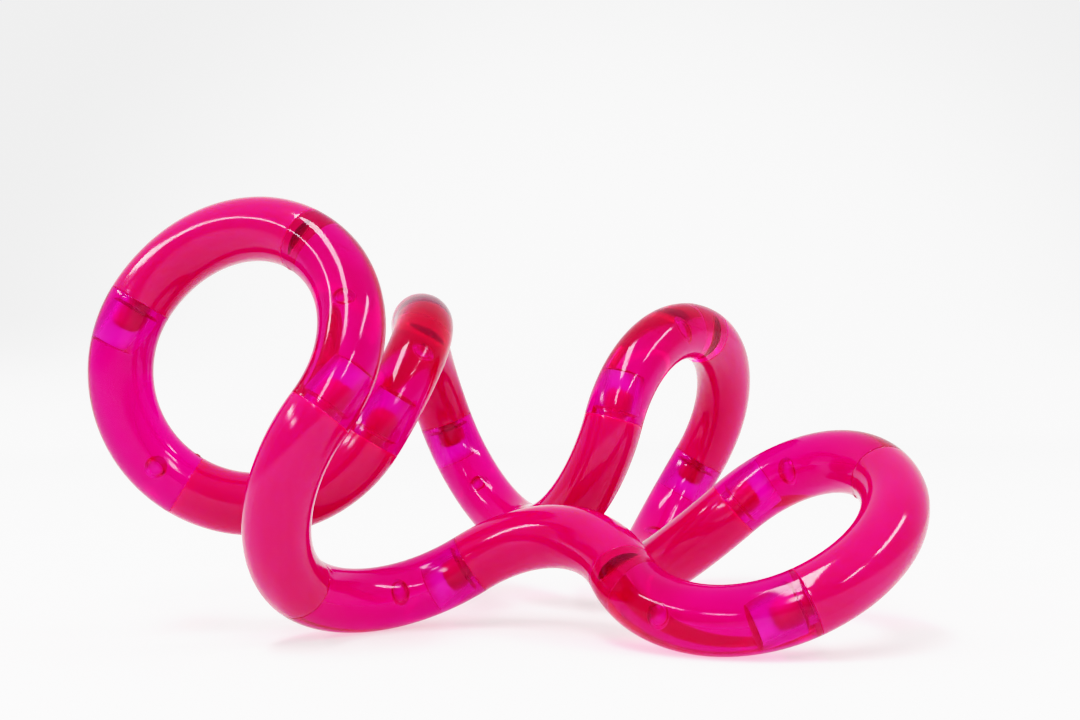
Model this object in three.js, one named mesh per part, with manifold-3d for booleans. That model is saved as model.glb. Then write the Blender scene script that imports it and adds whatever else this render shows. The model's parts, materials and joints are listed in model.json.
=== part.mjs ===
// Twisty snake puzzle: a closed loop of eighteen quarter-ring links.
// Every link is one moulding, a 90 degree bend of round rod with a snap stud on its first end and a
// socket in its last end. Each stud turns in the socket of the link before it, so the loop can be
// twisted into new shapes without ever coming apart. Opaque pink and clear pink links alternate.
// Units are millimetres and +Z is up. The loop stands on a table at Z = 0, centred on the origin.

import * as THREE from 'three';
import { mergeVertices } from 'three/addons/utils/BufferGeometryUtils.js';
import Module from 'manifold-3d';

const wasm = await Module();
wasm.setup();

// Driving dimensions of one link.
const TUBE_DIAMETER = 9.5;
const BEND_RADIUS = 20;
const SEAM_GAP = 0.3;

// Snap joint, as depths measured along the joint's axis from the seam between two links.
const NECK_DIAMETER = 3.4;
const HEAD_DIAMETER = 4.4;
const HEAD_START = 1.3;
const HEAD_FULL = 1.9;
const STUD_LENGTH = 4.75;
const TIP_ROUND = 0.7;
const LIP_DIAMETER = 4;
const LIP_DEPTH = 1;
const BORE_DIAMETER = 5;
const BORE_START = 1.5;
const BORE_DEPTH = 7.6;

// The loop is opened at the start of this link, counted from one. It has no stud there, and both open
// ends are cut back this far from their seam, so that they swing clear of each other when any one
// joint turns. Every other joint has its full snap stud.
const OPEN_LINK = 8;
const OPEN_SETBACK = 2.1;

// The pose: how far each link is twisted against the one before it, in whole degrees, starting at the
// joint between the first and second links. The last value is the joint that closes the loop. At zero,
// a link carries on the bend of the one before it, and at 180 it bends the opposite way.
const TWISTS = [-9, 95, 27, 69, 170, -10, -19, -155, -18, -34, 19, -61, -38, -14, -52, -84, 1, -35];

// The links, counted from one, that touch the table, and roughly how the first link is held above it.
const RESTING_LINKS = [4, 6, 9];
const FIRST_LINK_LEAN = [-108, 21, -55];

// Fineness of the solids.
const TUBE_SIDES = 20;
const TUBE_STEPS = 8;
const STUD_SIDES = 12;

// Colours of the two kinds of link.
const PINK = { name: 'pink', color: 0xd8104f, roughness: 0.16, opacity: 1 };
const CLEAR = { name: 'clear', color: 0xe6007e, roughness: 0.05, opacity: 0.55 };

const QUARTER = Math.PI / 2;

// The centre line of a link: it leaves the origin along +X and bends through 90 degrees towards +Y.
class QuarterBend extends THREE.Curve {
  getPoint(t, target = new THREE.Vector3()) {
    const angle = t * QUARTER;
    return target.set(BEND_RADIUS * Math.sin(angle), BEND_RADIUS * (1 - Math.cos(angle)), 0);
  }

  getTangent(t, target = new THREE.Vector3()) {
    const angle = t * QUARTER;
    return target.set(Math.cos(angle), Math.sin(angle), 0);
  }
}

function solidOf(geometry) {
  const bare = geometry.clone();
  bare.deleteAttribute('normal');
  bare.deleteAttribute('uv');
  const merged = mergeVertices(bare);
  const vertProperties = new Float32Array(merged.attributes.position.array);
  const triVerts = new Uint32Array(merged.index.array);
  return new wasm.Manifold(new wasm.Mesh({ numProp: 3, vertProperties, triVerts }));
}

function geometryOf(solid) {
  const mesh = solid.getMesh();
  const geometry = new THREE.BufferGeometry();
  geometry.setAttribute('position', new THREE.BufferAttribute(mesh.vertProperties, 3));
  geometry.setIndex(new THREE.BufferAttribute(mesh.triVerts, 1));
  geometry.computeVertexNormals();
  return geometry;
}

// The plain bent rod, with its ends set back from the seams.
function bentRod(startSetback, endSetback) {
  const section = new THREE.Shape();
  section.absarc(0, 0, TUBE_DIAMETER / 2, 0, 2 * Math.PI);
  const sweep = new THREE.ExtrudeGeometry(section, {
    steps: TUBE_STEPS,
    curveSegments: TUBE_SIDES / 2,
    extrudePath: new QuarterBend(),
  });
  const reach = BEND_RADIUS + TUBE_DIAMETER;
  const room = new THREE.BoxGeometry(reach, reach, 2 * TUBE_DIAMETER);
  room.translate(reach / 2 + startSetback, BEND_RADIUS - endSetback - reach / 2, 0);
  return solidOf(sweep).intersect(solidOf(room));
}

// A turned solid whose axis starts at the seam and runs along +X, from [depth, radius] pairs.
function turned(profile) {
  const outline = profile.map(([depth, radius]) => new THREE.Vector2(radius, depth));
  const lathe = new THREE.LatheGeometry(outline, STUD_SIDES);
  lathe.rotateZ(-QUARTER);
  return solidOf(lathe);
}

// The snap stud, rooted inside its own link and reaching through the seam into the one before.
function studSolid() {
  const neck = NECK_DIAMETER / 2;
  const head = HEAD_DIAMETER / 2;
  const stud = turned([
    [-2 * SEAM_GAP, 0],
    [-2 * SEAM_GAP, neck],
    [HEAD_START, neck],
    [HEAD_FULL, head],
    [STUD_LENGTH - TIP_ROUND, head],
    [STUD_LENGTH, head - TIP_ROUND],
    [STUD_LENGTH, 0],
  ]);
  return stud.rotate([0, 0, 180]);
}

// The socket to be cut out of a link's last end: a narrow lip, then a wider blind bore.
function socketSolid() {
  const lip = LIP_DIAMETER / 2;
  const bore = BORE_DIAMETER / 2;
  const socket = turned([
    [-SEAM_GAP, 0],
    [-SEAM_GAP, lip],
    [LIP_DEPTH, lip],
    [BORE_START, bore],
    [BORE_DEPTH, bore],
    [BORE_DEPTH, 0],
  ]);
  return socket.rotate([0, 0, -90]).translate([BEND_RADIUS, BEND_RADIUS, 0]);
}

// Where the next link starts, seen from the start of this one.
function stepToNext(twist) {
  return new THREE.Matrix4()
    .makeTranslation(BEND_RADIUS, BEND_RADIUS, 0)
    .multiply(new THREE.Matrix4().makeRotationZ(QUARTER))
    .multiply(new THREE.Matrix4().makeRotationX(twist));
}

// How far the end of the chain misses its start: three offsets, in bend radii, and three turns.
function loopError(twists) {
  const end = new THREE.Matrix4();
  for (const twist of twists) {
    end.multiply(stepToNext(twist));
  }
  const place = new THREE.Vector3();
  const turn = new THREE.Quaternion();
  end.decompose(place, turn, new THREE.Vector3());
  const side = turn.w < 0 ? -2 : 2;
  place.divideScalar(BEND_RADIUS);
  return [place.x, place.y, place.z, side * turn.x, side * turn.y, side * turn.z];
}

// Solves a small square set of linear equations by elimination with row swaps.
function solveLinear(matrix, right) {
  const rows = matrix.map((row, i) => [...row, right[i]]);
  const size = rows.length;
  for (let i = 0; i < size; i += 1) {
    let best = i;
    for (let j = i + 1; j < size; j += 1) {
      if (Math.abs(rows[j][i]) > Math.abs(rows[best][i])) {
        best = j;
      }
    }
    [rows[i], rows[best]] = [rows[best], rows[i]];
    for (let j = 0; j < size; j += 1) {
      if (j !== i) {
        const factor = rows[j][i] / rows[i][i];
        rows[j] = rows[j].map((value, k) => value - factor * rows[i][k]);
      }
    }
  }
  return rows.map((row, i) => row[size] / row[i]);
}

// Turns every joint by the least amount that makes the loop close exactly. The rounded pose misses by
// about a millimetre, and the corrections stay under half a degree.
function closeLoop(roundedTwists) {
  const nudge = 1e-6;
  const rounds = 12;
  let twists = [...roundedTwists];
  for (let round = 0; round < rounds; round += 1) {
    const error = loopError(twists);
    const slopes = twists.map((_, joint) => {
      const moved = twists.map((twist, other) => (other === joint ? twist + nudge : twist));
      return loopError(moved).map((value, i) => (value - error[i]) / nudge);
    });
    const normal = error.map((_, i) => error.map((_, j) =>
      slopes.reduce((sum, slope) => sum + slope[i] * slope[j], 0)));
    const weights = solveLinear(normal, error);
    twists = twists.map((twist, joint) =>
      twist - slopes[joint].reduce((sum, slope, i) => sum + slope * weights[i], 0));
  }
  return twists;
}

// Where every link starts, as matrices.
function linkPlaces(first, twists) {
  const places = [first];
  for (const twist of twists.slice(0, -1)) {
    places.push(places.at(-1).clone().multiply(stepToNext(twist)));
  }
  return places;
}

// The lowest point on the centre line of a link.
function lowestPoint(place) {
  const startSlope = place.elements[2];
  const endSlope = place.elements[6];
  const angle = Math.atan2(-startSlope, endSlope);
  const along = THREE.MathUtils.clamp(angle / QUARTER, 0, 1);
  return new QuarterBend().getPoint(along).applyMatrix4(place);
}

// Tips the whole loop until its three resting links are level.
function standOnTable(first, twists) {
  const rounds = 40;
  const up = new THREE.Vector3(0, 0, 1);
  let standing = first;
  for (let round = 0; round < rounds; round += 1) {
    const places = linkPlaces(standing, twists);
    const [a, b, c] = RESTING_LINKS.map((link) => lowestPoint(places[link - 1]));
    const normal = new THREE.Plane().setFromCoplanarPoints(a, b, c).normal;
    if (normal.z < 0) {
      normal.negate();
    }
    const tip = new THREE.Quaternion().setFromUnitVectors(normal, up);
    standing = new THREE.Matrix4().makeRotationFromQuaternion(tip).multiply(standing);
  }
  return standing;
}

const lean = FIRST_LINK_LEAN.map(THREE.MathUtils.degToRad);
const leaning = new THREE.Matrix4().makeRotationFromEuler(new THREE.Euler(...lean));
const twists = closeLoop(TWISTS.map(THREE.MathUtils.degToRad));
const places = linkPlaces(standOnTable(leaning, twists), twists);
const setback = SEAM_GAP / 2;
const linkSolid = bentRod(setback, setback).subtract(socketSolid()).add(studSolid());
const solidBeforeOpening = bentRod(setback, OPEN_SETBACK).subtract(socketSolid()).add(studSolid());
const solidAfterOpening = bentRod(OPEN_SETBACK, setback).subtract(socketSolid());
const openEnds = new Map([[OPEN_LINK - 1, solidBeforeOpening], [OPEN_LINK, solidAfterOpening]]);

const puzzle = new THREE.Group();
puzzle.name = 'twisty_snake_puzzle';

places.forEach((place, index) => {
  const look = index % 2 === 0 ? PINK : CLEAR;
  const material = new THREE.MeshStandardMaterial({
    color: look.color,
    roughness: look.roughness,
    metalness: 0,
    transparent: look.opacity < 1,
    opacity: look.opacity,
  });
  const solid = openEnds.get(index + 1) ?? linkSolid;
  const link = new THREE.Mesh(geometryOf(solid), material);
  const number = String(index + 1).padStart(2, '0');
  link.name = `link_${number}_${look.name}`;
  place.decompose(link.position, link.quaternion, link.scale);
  puzzle.add(link);
});

// Move the loop so that its box is centred on the origin and its lowest point is on the table.
const box = new THREE.Box3().setFromObject(puzzle, true);
const centre = box.getCenter(new THREE.Vector3());
puzzle.position.set(-centre.x, -centre.y, -box.min.z);

export default puzzle;
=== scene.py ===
import json
import math

import bpy
import numpy as np
from mathutils import Matrix, Vector

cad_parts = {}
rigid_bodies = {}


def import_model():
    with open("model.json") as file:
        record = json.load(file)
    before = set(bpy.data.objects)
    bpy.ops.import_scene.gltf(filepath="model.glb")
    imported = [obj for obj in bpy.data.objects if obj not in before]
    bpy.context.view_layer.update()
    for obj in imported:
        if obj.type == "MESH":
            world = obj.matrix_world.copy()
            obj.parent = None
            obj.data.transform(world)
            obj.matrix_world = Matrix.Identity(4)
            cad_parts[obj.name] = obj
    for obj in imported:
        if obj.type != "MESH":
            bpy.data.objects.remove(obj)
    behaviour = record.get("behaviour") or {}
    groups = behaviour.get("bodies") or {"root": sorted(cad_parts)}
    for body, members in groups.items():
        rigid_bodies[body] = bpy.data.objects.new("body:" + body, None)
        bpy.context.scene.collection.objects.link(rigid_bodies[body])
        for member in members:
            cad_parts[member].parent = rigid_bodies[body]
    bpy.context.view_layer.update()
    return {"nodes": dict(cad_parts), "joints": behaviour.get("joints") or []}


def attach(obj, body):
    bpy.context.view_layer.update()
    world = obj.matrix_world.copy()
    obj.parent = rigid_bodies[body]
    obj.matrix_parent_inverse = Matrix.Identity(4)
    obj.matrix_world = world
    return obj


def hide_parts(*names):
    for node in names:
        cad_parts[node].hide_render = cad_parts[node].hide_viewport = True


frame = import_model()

MM = 0.001

# The puzzle: eighteen quarter bends of solid rod, each with a stud on its first end and a blind bore
# in its last. The seams' places and the size of the bends come from the frame.
LINKS = 18
OPEN_SEAM = 7                    # after this link the loop is parted, so no joint names that seam
ROD_RADIUS = 4.75 * MM
FACE_SETBACK = 0.01 * MM         # each end face stands this far short of the seam's middle
EDGE_FILLET = 0.08 * MM

# The stud, with distances measured out of the seam. The parted seam has only a short stub.
NECK_RADIUS = 1.7 * MM
HEAD_RADIUS = 2.2 * MM
HEAD_START = 1.3 * MM
HEAD_FULL = 1.9 * MM
STUD_LENGTH = 4.75 * MM
STUB_LENGTH = 0.6 * MM
STUB_ROUND = 0.35 * MM
TIP_ROUND = 1.2 * MM
ROOT_FILLET = 0.25 * MM

# The bore, with depths measured from the seam, down to the blunt point of its bottom.
LIP_RADIUS = 2.0 * MM
LIP_DEPTH = 1.0 * MM
BORE_RADIUS = 2.5 * MM
BORE_START = 1.5 * MM
BORE_DEPTH = 7.6 * MM
BORE_ROUND = 0.12 * MM
POINT_DEPTH = 0.35 * MM
POINT_BEND_DEPTH = 0.6           # where the point bends, as a part of its depth
POINT_BEND_RADIUS = 0.4          # and as a part of the bore's radius

# The fineness of the meshes.
SIDES = 64
BEND_STEPS = 54
ARC_STEPS = 4
HEAD_STEPS = 4
WALL_STEPS = 6
FACE_STEPS = 3
SHARP_EDGE = math.radians(40)

# The flash where the two mould halves met, along the inside and the outside of the bend.
PARTING_RIDGE = 0.02 * MM
PARTING_WIDTH = math.radians(1.1)
PARTING_STEPS = (-3, -2, -1, 1, 2, 3)

# The torn-off gate on a clear link, by its stud, on the inside of the bend.
GATE_LENGTH = 1.2 * MM
GATE_WIDTH = 0.7 * MM
GATE_HEIGHT = 0.16 * MM
GATE_PLACE = 1.1 * MM
GATE_RAGGED = 0.15               # how much its height wavers from ring to ring
GATE_RINGS = 11                  # close rings at the bend's start, which give the gate its shape
GATE_RING_STEP = 0.2 * MM

# The air pocket inside each clear link. Places are along the bend from the stud's end, by link number.
VOID_PLACE_MM = {2: 14, 4: 19, 6: 11.5, 8: 20, 10: 12, 12: 9, 14: 17.5, 16: 15, 18: 5.1}
VOID_RADIUS = (1.0 * MM, 1.35 * MM)
VOID_STRETCH = 1.25              # its length over its width
VOID_OFFSET = 0.5                # the most that it lies off the rod's middle, in its own radii
VOID_DENT = 0.3                  # the depth of the dent in its side, in its own radii
VOID_DENT_POWER = 3              # how narrow that dent is
VOID_RINGS = 14
VOID_SEED = 100                  # keeps its random draws apart from those of the gates
VOID_DULL = 0.6                  # how far its walls take the dull finish

# The finish of both plastics. Each noise has its scale, in waves to the metre, and its detail.
PLASTIC_IOR = 1.49
FACE_ROUGH = 0.42                # the dull finish of the end faces, studs and bores
SMEAR_NOISE = (180, 4)           # smears in the gloss
SMEAR_RANGE = (0.35, 0.75)
WAVE_NOISE = (230, 1)            # slow waves of the surface
MARK_NOISE = (2600, 3)           # fine handling marks

# The pink plastic.
PINK_ROUGH = (0.08, 0.16)
PINK_WAVE = 0.02 * MM
PINK_MARKS = 0.0006 * MM
PINK_BLEED = 0.8                 # how much of its light comes back from inside
PINK_BLEED_COLOUR = (1.0, 0.06, 0.22)
PINK_BLEED_DEPTH = 3.5 * MM
PINK_CLOUD_NOISE = (90, 3)
PINK_CLOUD_RANGE = (0.3, 0.7)
PINK_DARK = (0.545, 0.003, 0.116, 1)
PINK_LIGHT = (0.585, 0.006, 0.136, 1)

# The clear plastic.
CLEAR_ROUGH = (0.07, 0.13)
CLEAR_WAVE = 0.015 * MM
CLEAR_MARKS = 0.0004 * MM
CLEAR_HAZE = 0.23                # how much of its look is milky
CLEAR_MILK = (0.57, 0.003, 0.22, 1)
CLEAR_SHADOW = (0.85, 0.8, 0.85, 1)      # the part of the light that its surfaces let on into a shadow
CLEAR_DYE = (0.98, 0.0, 0.812, 1)
CLEAR_DYE_DENSITY = 800

# The camera: its place, then how far it is turned about Z, tilted up from level, and rolled.
CAMERA_PLACE = (7.74 * MM, -241.13 * MM, 34.91 * MM)
CAMERA_HEADING = math.radians(0.31)
CAMERA_PITCH = math.radians(1.34)
CAMERA_ROLL = math.radians(-0.79)
CAMERA_NEAREST = 10 * MM
SENSOR_WIDTH = 36.0
LENS = 50.98

# The ceiling panels, in metres and in radiance.
CEILING_HEIGHT = 1.4
PANEL_WIDTH = 0.28
PANEL_LENGTH = 1.2
PANEL_MIDDLE = (-0.3, -0.6)
PANEL_SPACING = (1.7, 1.74)
PANEL_RADIANCE = 14

# The room's radiance by direction. A span gives where each part takes over from the one before: as the
# cosine of the angle from the backdrop's middle, or as the height of the direction for the last two.
BACKDROP_TOWARDS = (0.05, 0.995, -0.08)
WALL_BEHIND = 0.6
WALL_SIDE = 0.82
SIDE_SPAN = (-0.9, 0.3)
BACKDROP_EDGE = 1.03
EDGE_SPAN = (0.2, 0.9)
BACKDROP = 1.28
BACKDROP_SPAN = (0.9, 1.0)
CEILING = 0.85
CEILING_SPAN = (0.45, 0.8)
TABLE = 1.28
TABLE_SPAN = (0.06, -0.03)

# The table top that takes the shadows. It fades out before its rim.
FLOOR_RADIUS = 1.2
FLOOR_SIDES = 96
FLOOR_FADE = (0.4, 0.95 * FLOOR_RADIUS)
FLOOR_WHITE = 0.55
FLOOR_GLOW = 0.5

# The camera's tone curve, as pairs of radiance and level. Red has a lighter toe than green and blue.
TONE_WHITE = 2.0                 # the radiance at the curve's far end
TONE_TOE = ((0.03, 0.002), (0.06, 0.014), (0.1, 0.045), (0.16, 0.1), (0.2, 0.155), (0.25, 0.235))
TONE_TOE_RED = ((0.01, 0.012), (0.03, 0.05), (0.06, 0.09), (0.1, 0.13), (0.16, 0.18), (0.2, 0.21),
                (0.25, 0.255))
TONE_SHOULDER = ((0.3, 0.3), (0.45, 0.45), (0.6, 0.59), (0.75, 0.7), (0.9, 0.79), (1.0, 0.85),
                 (1.1, 0.9), (1.2, 0.938), (1.35, 0.958), (1.5, 0.97))

# Enough bounces to see through several clear links.
BOUNCES = 24
GLOSSY_BOUNCES = 8
TRANSPARENT_BOUNCES = 32


# ---- where each link lies ------------------------------------------------------------------------

def seam_joints():
    """The joint at each seam, by the number of the link before it."""
    found = {}
    for joint in frame["joints"]:
        first, second = sorted(int(joint[end].split("_")[1]) for end in ("parent", "child"))
        number = LINKS if (first, second) == (1, LINKS) else first
        found[number] = joint
    return found


def after(number):
    return number % LINKS + 1


def before(number):
    return (number - 2) % LINKS + 1


def seam_frames():
    """Each seam's middle and direction of travel, and the bend radius. The parted seam's middle and
    direction are worked out from its neighbours, as no joint gives them."""
    joints = seam_joints()
    middle = {n: Vector(joint["pos_m"]) for n, joint in joints.items()}
    axis = {n: Vector(joint["axis"]).normalized() for n, joint in joints.items()}
    travel = {}
    for n in axis:
        step = middle[after(n)] - middle[n] if after(n) in middle else middle[n] - middle[before(n)]
        travel[n] = axis[n] if step.dot(axis[n]) > 0 else -axis[n]
    radius = (middle[2] - middle[1]).length / math.sqrt(2)
    n, a, b = OPEN_SEAM, before(OPEN_SEAM), after(OPEN_SEAM)
    travel[n] = ((middle[b] - middle[a]) / radius - travel[a] - travel[b]) / 2
    travel[n].normalize()
    middle[n] = middle[a] + radius * (travel[a] + travel[n])
    return middle, travel, radius


SEAM_MIDDLE, SEAM_TRAVEL, BEND_RADIUS = seam_frames()


def link_matrix(number):
    """The link's own frame: X along its first end, Y along its last, and the origin at its first seam."""
    first = before(number)
    x = SEAM_TRAVEL[first]
    y = SEAM_TRAVEL[number]
    y = (y - y.dot(x) * x).normalized()
    z = x.cross(y)
    place = Matrix((x, y, z)).transposed().to_4x4()
    place.translation = SEAM_MIDDLE[first]
    return place


# ---- one link's mesh -----------------------------------------------------------------------------

def arc(centre, radius, start, end, steps=ARC_STEPS):
    """Points (along, radius) round a fillet, both ends included."""
    angles = [start + (end - start) * i / steps for i in range(steps + 1)]
    return [(centre[0] + radius * math.cos(a), centre[1] + radius * math.sin(a)) for a in angles]


def spread(start, end, steps):
    """Even steps from start to end, without either of them."""
    return [start + (end - start) * i / steps for i in range(1, steps)]


def stud_profile(length):
    """The stud from its tip back to its root, as (distance out of the seam, radius)."""
    if length < HEAD_FULL:
        tip = arc((length - STUB_ROUND, NECK_RADIUS - STUB_ROUND), STUB_ROUND, 0, math.pi / 2)
        head = []
    else:
        tip = arc((length - TIP_ROUND, HEAD_RADIUS - TIP_ROUND), TIP_ROUND, 0, math.pi / 2)
        head = [(d, HEAD_RADIUS) for d in spread(length - TIP_ROUND, HEAD_FULL, HEAD_STEPS)]
        head += [(HEAD_FULL, HEAD_RADIUS), (HEAD_START, NECK_RADIUS)]
    root_centre = (ROOT_FILLET - FACE_SETBACK, NECK_RADIUS + ROOT_FILLET)
    root = arc(root_centre, ROOT_FILLET, -math.pi / 2, -math.pi)
    return tip + head + root


def bore_profile():
    """The bore from its mouth down to its bottom, as (depth from the seam, radius)."""
    mouth_centre = (FACE_SETBACK + EDGE_FILLET, LIP_RADIUS + EDGE_FILLET)
    mouth = arc(mouth_centre, EDGE_FILLET, math.pi, 1.5 * math.pi)
    lip = [(LIP_DEPTH, LIP_RADIUS), (BORE_START, BORE_RADIUS)]
    wall = [(d, BORE_RADIUS) for d in spread(BORE_START, BORE_DEPTH - BORE_ROUND, WALL_STEPS)]
    corner = arc((BORE_DEPTH - BORE_ROUND, BORE_RADIUS - BORE_ROUND), BORE_ROUND, math.pi / 2, 0)
    point = [(BORE_DEPTH + POINT_DEPTH * POINT_BEND_DEPTH, BORE_RADIUS * POINT_BEND_RADIUS)]
    return mouth + lip + wall + corner + point


def round_angles():
    """Angles round the rod, closer together at the parting line, where 0 is the inside of the bend."""
    even = [2 * math.pi * i / SIDES for i in range(SIDES)]
    extra = []
    for middle in (0, math.pi):
        for step in PARTING_STEPS:
            extra.append((middle + step * PARTING_WIDTH) % (2 * math.pi))
    return np.array(sorted(even + extra))


ANGLES = round_angles()


def parting_ridge(angle):
    """How far the parting line stands proud at each angle."""
    away = np.abs((angle + math.pi / 2) % math.pi - math.pi / 2)
    return PARTING_RIDGE * np.clip(1 - away / PARTING_WIDTH, 0, 1)


def gate_scar(distance, angle, draw):
    """The torn gate: a low ragged lump on the inside of the bend."""
    across = ((angle + math.pi) % (2 * math.pi) - math.pi) * ROD_RADIUS
    along = (distance - GATE_PLACE) / (GATE_LENGTH / 2)
    side = across / (GATE_WIDTH / 2)
    inside = np.clip(1 - side**2, 0, 1) * max(1 - along**2, 0)
    ragged = 1 - GATE_RAGGED + GATE_RAGGED * draw.uniform(-1, 1)
    return GATE_HEIGHT * np.sqrt(inside) * ragged


def bend_distances():
    """Distances along the bend for its rings, closer together by the stud, where the gate was."""
    start = FACE_SETBACK + EDGE_FILLET
    end = BEND_RADIUS * math.pi / 2 - start
    close = [start + GATE_RING_STEP * i for i in range(1, GATE_RINGS + 1)]
    return [start] + close + spread(close[-1], end, BEND_STEPS) + [end]


def ring(origin, inward, radii):
    """One ring of points round origin, where inward points to the inside of the bend. All its points
    share one radius, or each has its own."""
    z = np.array((0.0, 0.0, 1.0))
    cos = np.cos(ANGLES)[:, None]
    sin = np.sin(ANGLES)[:, None]
    return origin + np.asarray(radii).reshape(-1, 1) * (cos * inward + sin * z)


def bend_ring(distance, radii):
    turn = distance / BEND_RADIUS
    origin = np.array((BEND_RADIUS * math.sin(turn), BEND_RADIUS * (1 - math.cos(turn)), 0.0))
    inward = np.array((-math.sin(turn), math.cos(turn), 0.0))
    return ring(origin, inward, radii)


def first_end_ring(out, radius):
    return ring(np.array((-out, 0.0, 0.0)), np.array((0.0, 1.0, 0.0)), radius)


def last_end_ring(depth, radius):
    return ring(np.array((BEND_RADIUS, BEND_RADIUS - depth, 0.0)), np.array((-1.0, 0.0, 0.0)), radius)


def end_edge(start, end):
    """The rounded edge of an end face, without its two ends, as (distance from the seam, radius)."""
    centre = (FACE_SETBACK + EDGE_FILLET, ROD_RADIUS - EDGE_FILLET)
    return arc(centre, EDGE_FILLET, start, end)[1:-1]


def first_end_rings(length):
    """From the stud's tip over its root to the end face's edge."""
    face = np.linspace(NECK_RADIUS + ROOT_FILLET, ROD_RADIUS - EDGE_FILLET, FACE_STEPS + 1)[1:]
    rings = [first_end_ring(out, radius) for out, radius in stud_profile(length)]
    return rings + [first_end_ring(-FACE_SETBACK, radius) for radius in face]


def rod_rings(number, clear):
    """The polished outside of the bend, with its rounded edges, parting line and gate."""
    draw = np.random.default_rng(number)
    rings = [bend_ring(along, radius) for along, radius in end_edge(math.pi, math.pi / 2)]
    for distance in bend_distances():
        radii = ROD_RADIUS + parting_ridge(ANGLES)
        if clear:
            radii = radii + gate_scar(distance, ANGLES, draw)
        rings.append(bend_ring(distance, radii))
    whole = BEND_RADIUS * math.pi / 2
    return rings + [bend_ring(whole - along, radius) for along, radius in end_edge(math.pi / 2, math.pi)]


def last_end_rings():
    """From the end face's edge over the bore's mouth to its bottom."""
    face = np.linspace(ROD_RADIUS - EDGE_FILLET, LIP_RADIUS + EDGE_FILLET, FACE_STEPS + 1)[:-1]
    rings = [last_end_ring(FACE_SETBACK, radius) for radius in face]
    return rings + [last_end_ring(depth, radius) for depth, radius in bore_profile()]


def closed_faces(rings, sides):
    """Faces over rings of points that are numbered after the point that closes the first ring and
    before the one that closes the last."""
    last = 1 + (rings - 1) * sides
    faces = [(0, 1 + (i + 1) % sides, 1 + i) for i in range(sides)]
    for start in range(1, last, sides):
        for i in range(sides):
            j = (i + 1) % sides
            faces.append((start + i, start + j, start + sides + j, start + sides + i))
    return faces + [(last + i, last + (i + 1) % sides, last + sides) for i in range(sides)]


def link_shell(number, clear):
    """The link's surface in its own frame: its points, its faces, and how dull each point is."""
    length = STUB_LENGTH if number == after(OPEN_SEAM) else STUD_LENGTH
    first, rod, last = first_end_rings(length), rod_rings(number, clear), last_end_rings()
    rings = first + rod + last
    tip = np.array((-length, 0.0, 0.0))
    bottom = np.array((BEND_RADIUS, BEND_RADIUS - BORE_DEPTH - POINT_DEPTH, 0.0))
    points = np.vstack([tip] + rings + [bottom])
    polished = 1 + len(first) * len(ANGLES)
    dull = np.ones(len(points))
    dull[polished:polished + len(rod) * len(ANGLES)] = 0
    return points, closed_faces(len(rings), len(ANGLES)), dull


def shrink_void(number):
    """The air pocket inside a clear link: a closed heart-like drop, whose faces look into the pocket."""
    draw = np.random.default_rng(VOID_SEED + number)
    turn = VOID_PLACE_MM[number] * MM / BEND_RADIUS
    radius = draw.uniform(*VOID_RADIUS)
    dent = draw.uniform(0, 2 * math.pi)
    along = np.array((math.cos(turn), math.sin(turn), 0.0))
    inward = np.array((-math.sin(turn), math.cos(turn), 0.0))
    across = np.array((0.0, 0.0, 1.0))
    middle = np.array((BEND_RADIUS * math.sin(turn), BEND_RADIUS * (1 - math.cos(turn)), 0.0))
    offset = [draw.uniform(-VOID_OFFSET, VOID_OFFSET) for _ in range(2)]
    middle = middle + radius * (offset[0] * inward + offset[1] * across)
    sides = 2 * VOID_RINGS
    points = [middle + radius * VOID_STRETCH * along]
    for row in range(1, VOID_RINGS):
        tilt = math.pi * row / VOID_RINGS
        for i in range(sides):
            spin = math.pi * i / VOID_RINGS
            dip = VOID_DENT * math.sin(tilt)**2 * max(0, math.cos(spin - dent))**VOID_DENT_POWER
            size = radius * (1 - dip)
            side = size * math.sin(tilt)
            points.append(middle + size * VOID_STRETCH * math.cos(tilt) * along
                          + side * math.cos(spin) * inward + side * math.sin(spin) * across)
    points.append(middle - radius * VOID_STRETCH * along)
    return np.array(points), closed_faces(VOID_RINGS - 1, sides)


def link_mesh(number, clear):
    """The link's mesh where it lies in the loop, with the air pocket of a clear one."""
    points, faces, dull = link_shell(number, clear)
    if clear:
        pocket, pocket_faces = shrink_void(number)
        faces += [tuple(corner + len(points) for corner in face) for face in pocket_faces]
        points = np.vstack([points, pocket])
        dull = np.append(dull, np.full(len(pocket), VOID_DULL))
    place = np.array(link_matrix(number))
    points = points @ place[:3, :3].T + place[:3, 3]
    mesh = bpy.data.meshes.new(f"link_{number:02d}")
    mesh.from_pydata(points.tolist(), [], faces)
    finish = mesh.attributes.new("dull", "FLOAT", "POINT")
    finish.data.foreach_set("value", dull.astype(np.float32))
    mesh.shade_smooth()
    mesh.set_sharp_from_angle(angle=SHARP_EDGE)
    return mesh


# ---- materials -----------------------------------------------------------------------------------

def new_material(name):
    material = bpy.data.materials.new(name)
    material.use_nodes = True
    material.node_tree.nodes.clear()
    return material, material.node_tree.nodes, material.node_tree.links


def add(nodes, kind, **values):
    node = nodes.new(kind)
    for name, value in values.items():
        setattr(node, name, value)
    return node


def ramp(nodes, links, value, start, end):
    """A smooth step of value from 0 at start to 1 at end."""
    node = add(nodes, "ShaderNodeMapRange", interpolation_type="SMOOTHSTEP")
    node.inputs["From Min"].default_value = start
    node.inputs["From Max"].default_value = end
    links.new(value, node.inputs["Value"])
    return node.outputs["Result"]


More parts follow.
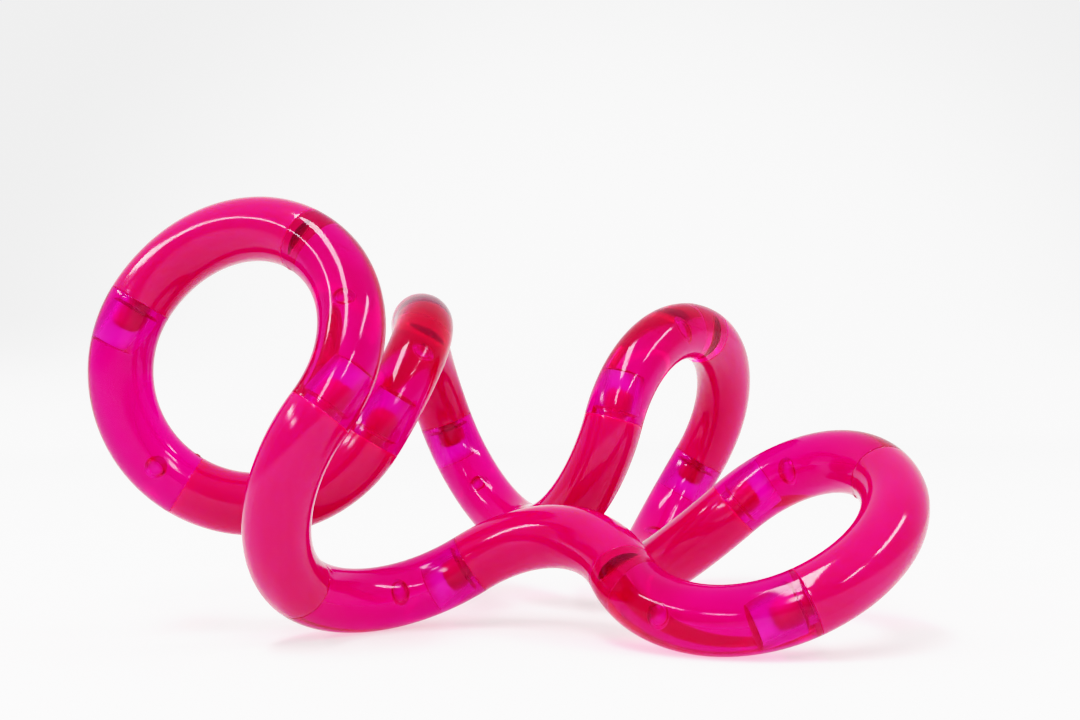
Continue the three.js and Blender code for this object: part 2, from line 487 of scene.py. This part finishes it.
def blend(nodes, links, amount, first, second):
    """first where amount is 0 and second where it is 1, each a number or a socket."""
    node = add(nodes, "ShaderNodeMix", data_type="FLOAT")
    links.new(amount, node.inputs["Factor"])
    for name, value in (("A", first), ("B", second)):
        if isinstance(value, (int, float)):
            node.inputs[name].default_value = value
        else:
            links.new(value, node.inputs[name])
    return node.outputs["Result"]


def noise(nodes, links, coords, scale, detail):
    """A noise that goes with the link."""
    node = add(nodes, "ShaderNodeTexNoise")
    node.inputs["Scale"].default_value = scale
    node.inputs["Detail"].default_value = detail
    links.new(coords.outputs["Object"], node.inputs["Vector"])
    return node.outputs["Fac"]


def bump(nodes, links, height, distance):
    """A bump that follows height, which is distance deep where height is 1."""
    node = add(nodes, "ShaderNodeBump")
    node.inputs["Strength"].default_value = 1
    node.inputs["Distance"].default_value = distance
    links.new(height, node.inputs["Height"])
    return node


def moulded_gloss(nodes, links, shader, rough_range, wave, scratch):
    """Roughness that varies a little over the moulding, and a bump of slow waves with fine handling marks.
    The link's dull parts get one even roughness instead."""
    coords = add(nodes, "ShaderNodeTexCoord")
    rough = add(nodes, "ShaderNodeMapRange")
    rough.inputs["From Min"].default_value = SMEAR_RANGE[0]
    rough.inputs["From Max"].default_value = SMEAR_RANGE[1]
    rough.inputs["To Min"].default_value = rough_range[0]
    rough.inputs["To Max"].default_value = rough_range[1]
    links.new(noise(nodes, links, coords, *SMEAR_NOISE), rough.inputs["Value"])
    dull = add(nodes, "ShaderNodeAttribute", attribute_name="dull")
    finish = blend(nodes, links, dull.outputs["Fac"], rough.outputs["Result"], FACE_ROUGH)
    links.new(finish, shader.inputs["Roughness"])
    waves = bump(nodes, links, noise(nodes, links, coords, *WAVE_NOISE), wave)
    marks = bump(nodes, links, noise(nodes, links, coords, *MARK_NOISE), scratch)
    links.new(waves.outputs["Normal"], marks.inputs["Normal"])
    links.new(marks.outputs["Normal"], shader.inputs["Normal"])
    return coords


def pink_plastic():
    """Milky hot pink polystyrene: nearly opaque, glossy, with light bleeding a little way into it."""
    material, nodes, links = new_material("opaque_pink_plastic")
    shader = add(nodes, "ShaderNodeBsdfPrincipled")
    shader.inputs["IOR"].default_value = PLASTIC_IOR
    shader.inputs["Subsurface Weight"].default_value = PINK_BLEED
    shader.inputs["Subsurface Radius"].default_value = PINK_BLEED_COLOUR
    shader.inputs["Subsurface Scale"].default_value = PINK_BLEED_DEPTH
    coords = moulded_gloss(nodes, links, shader, PINK_ROUGH, PINK_WAVE, PINK_MARKS)
    tint = add(nodes, "ShaderNodeValToRGB")
    for element, place, colour in zip(tint.color_ramp.elements, PINK_CLOUD_RANGE, (PINK_DARK, PINK_LIGHT)):
        element.position = place
        element.color = colour
    links.new(noise(nodes, links, coords, *PINK_CLOUD_NOISE), tint.inputs["Fac"])
    links.new(tint.outputs["Color"], shader.inputs["Base Color"])
    output = add(nodes, "ShaderNodeOutputMaterial")
    links.new(shader.outputs["BSDF"], output.inputs["Surface"])
    return material


def clear_plastic():
    """Clear magenta plastic with a little milk in it: thin stretches look violet-pink, and thick ones
    deep red."""
    material, nodes, links = new_material("clear_pink_plastic")
    glass = add(nodes, "ShaderNodeBsdfPrincipled")
    glass.inputs["Base Color"].default_value = (1, 1, 1, 1)
    glass.inputs["IOR"].default_value = PLASTIC_IOR
    glass.inputs["Transmission Weight"].default_value = 1
    moulded_gloss(nodes, links, glass, CLEAR_ROUGH, CLEAR_WAVE, CLEAR_MARKS)
    through = add(nodes, "ShaderNodeBsdfTransparent")
    through.inputs["Color"].default_value = CLEAR_SHADOW
    milk = add(nodes, "ShaderNodeBsdfDiffuse")
    milk.inputs["Color"].default_value = CLEAR_MILK
    glow = add(nodes, "ShaderNodeBsdfTranslucent")
    glow.inputs["Color"].default_value = CLEAR_MILK
    haze = add(nodes, "ShaderNodeMixShader")
    links.new(milk.outputs["BSDF"], haze.inputs[1])
    links.new(glow.outputs["BSDF"], haze.inputs[2])
    body = add(nodes, "ShaderNodeMixShader")
    dull = add(nodes, "ShaderNodeAttribute", attribute_name="dull")
    skin = add(nodes, "ShaderNodeMapRange")
    skin.inputs["To Min"].default_value = CLEAR_HAZE
    skin.inputs["To Max"].default_value = 0
    links.new(dull.outputs["Fac"], skin.inputs["Value"])
    links.new(skin.outputs["Result"], body.inputs["Fac"])
    links.new(glass.outputs["BSDF"], body.inputs[1])
    links.new(haze.outputs["Shader"], body.inputs[2])
    path = add(nodes, "ShaderNodeLightPath")
    mix = add(nodes, "ShaderNodeMixShader")
    links.new(path.outputs["Is Shadow Ray"], mix.inputs["Fac"])
    links.new(body.outputs["Shader"], mix.inputs[1])
    links.new(through.outputs["BSDF"], mix.inputs[2])
    dye = add(nodes, "ShaderNodeVolumeAbsorption")
    dye.inputs["Color"].default_value = CLEAR_DYE
    dye.inputs["Density"].default_value = CLEAR_DYE_DENSITY
    output = add(nodes, "ShaderNodeOutputMaterial")
    links.new(mix.outputs["Shader"], output.inputs["Surface"])
    links.new(dye.outputs["Volume"], output.inputs["Volume"])
    return material


def floor_white():
    """A pale lit table top, so that shadows stay faint, fading out towards its rim."""
    material, nodes, links = new_material("floor_white")
    matt = add(nodes, "ShaderNodeBsdfDiffuse")
    matt.inputs["Color"].default_value = (FLOOR_WHITE, FLOOR_WHITE, FLOOR_WHITE, 1)
    glow = add(nodes, "ShaderNodeEmission")
    glow.inputs["Strength"].default_value = FLOOR_GLOW
    both = add(nodes, "ShaderNodeAddShader")
    links.new(matt.outputs["BSDF"], both.inputs[0])
    links.new(glow.outputs["Emission"], both.inputs[1])
    coords = add(nodes, "ShaderNodeTexCoord")
    far = add(nodes, "ShaderNodeVectorMath", operation="LENGTH")
    links.new(coords.outputs["Object"], far.inputs[0])
    gone = add(nodes, "ShaderNodeBsdfTransparent")
    mix = add(nodes, "ShaderNodeMixShader")
    links.new(ramp(nodes, links, far.outputs["Value"], *FLOOR_FADE), mix.inputs["Fac"])
    links.new(both.outputs["Shader"], mix.inputs[1])
    links.new(gone.outputs["BSDF"], mix.inputs[2])
    output = add(nodes, "ShaderNodeOutputMaterial")
    links.new(mix.outputs["Shader"], output.inputs["Surface"])
    return material


# ---- the pieces ----------------------------------------------------------------------------------

def add_piece(name, mesh, material):
    piece = bpy.data.objects.new(name, mesh)
    bpy.context.scene.collection.objects.link(piece)
    mesh.materials.append(material)
    return piece


def make_links():
    looks = {"pink": (pink_plastic(), "opaque_pink_plastic"),
             "clear": (clear_plastic(), "clear_pink_plastic")}
    for node in sorted(frame["nodes"]):
        word, digits, look = node.split("_")
        number = int(digits)
        material, slot = looks[look]
        piece = add_piece(f"{node}_moulding", link_mesh(number, look == "clear"), material)
        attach(piece, f"{word}_{digits}")
        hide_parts(node)


# ---- floor, light and camera ---------------------------------------------------------------------

def make_floor():
    """A round pale table top, whose edge fades into the surroundings."""
    angles = [2 * math.pi * i / FLOOR_SIDES for i in range(FLOOR_SIDES)]
    rim = [(FLOOR_RADIUS * math.cos(a), FLOOR_RADIUS * math.sin(a), 0) for a in angles]
    mesh = bpy.data.meshes.new("floor")
    mesh.from_pydata(rim, [], [tuple(range(FLOOR_SIDES))])
    add_piece("floor", mesh, floor_white())


def make_panel(name, middle):
    """A long soft ceiling panel facing straight down."""
    lamp = bpy.data.lights.new(name, "AREA")
    lamp.shape = "RECTANGLE"
    lamp.size = PANEL_WIDTH
    lamp.size_y = PANEL_LENGTH
    lamp.energy = PANEL_RADIANCE * math.pi * PANEL_WIDTH * PANEL_LENGTH
    panel = bpy.data.objects.new(name, lamp)
    panel.location = middle
    bpy.context.scene.collection.objects.link(panel)


def make_lights():
    """Two rows of three panels in the ceiling, over the puzzle and over the camera."""
    for column in range(3):
        for row in range(2):
            x = PANEL_MIDDLE[0] + (column - 1) * PANEL_SPACING[0]
            y = PANEL_MIDDLE[1] - row * PANEL_SPACING[1]
            make_panel(f"panel_{column}_{row}", (x, y, CEILING_HEIGHT))


def make_world():
    """A bright backdrop behind the puzzle and a bright table under it, in a room whose other walls and
    ceiling are dimmer."""
    world = bpy.data.worlds.new("studio")
    world.use_nodes = True
    nodes = world.node_tree.nodes
    links = world.node_tree.links
    nodes.clear()
    coords = add(nodes, "ShaderNodeTexCoord")
    towards = add(nodes, "ShaderNodeVectorMath", operation="DOT_PRODUCT")
    towards.inputs[1].default_value = BACKDROP_TOWARDS
    links.new(coords.outputs["Generated"], towards.inputs[0])
    height = add(nodes, "ShaderNodeSeparateXYZ")
    links.new(coords.outputs["Generated"], height.inputs["Vector"])
    facing = towards.outputs["Value"]
    rise = height.outputs["Z"]
    room = WALL_BEHIND
    for direction, span, radiance in ((facing, SIDE_SPAN, WALL_SIDE), (facing, EDGE_SPAN, BACKDROP_EDGE),
                                      (facing, BACKDROP_SPAN, BACKDROP), (rise, CEILING_SPAN, CEILING),
                                      (rise, TABLE_SPAN, TABLE)):
        room = blend(nodes, links, ramp(nodes, links, direction, *span), room, radiance)
    sky = add(nodes, "ShaderNodeBackground")
    links.new(room, sky.inputs["Color"])
    output = add(nodes, "ShaderNodeOutputWorld")
    links.new(sky.outputs["Background"], output.inputs["Surface"])
    bpy.context.scene.world = world


def make_camera():
    lens = bpy.data.cameras.new("camera")
    lens.sensor_width = SENSOR_WIDTH
    lens.lens = LENS
    lens.clip_start = CAMERA_NEAREST
    camera = bpy.data.objects.new("camera", lens)
    turn = Matrix.Rotation(CAMERA_HEADING, 4, "Z")
    tilt = Matrix.Rotation(math.pi / 2 + CAMERA_PITCH, 4, "X")
    roll = Matrix.Rotation(CAMERA_ROLL, 4, "Z")
    camera.matrix_world = Matrix.Translation(CAMERA_PLACE) @ turn @ tilt @ roll
    bpy.context.scene.collection.objects.link(camera)
    bpy.context.scene.camera = camera


def set_look():
    """The tone curve over the standard view, and the bounces."""
    scene = bpy.context.scene
    view = scene.view_settings
    view.view_transform = "Standard"
    view.use_curve_mapping = True
    view.curve_mapping.white_level = (TONE_WHITE, TONE_WHITE, TONE_WHITE)
    for channel, toe in enumerate((TONE_TOE_RED, TONE_TOE, TONE_TOE)):
        for light, level in toe + TONE_SHOULDER:
            view.curve_mapping.curves[channel].points.new(light / TONE_WHITE, level)
    view.curve_mapping.update()
    scene.cycles.max_bounces = BOUNCES
    scene.cycles.transmission_bounces = BOUNCES
    scene.cycles.glossy_bounces = GLOSSY_BOUNCES
    scene.cycles.transparent_max_bounces = TRANSPARENT_BOUNCES


make_links()
make_floor()
make_lights()
make_world()
make_camera()
set_look()
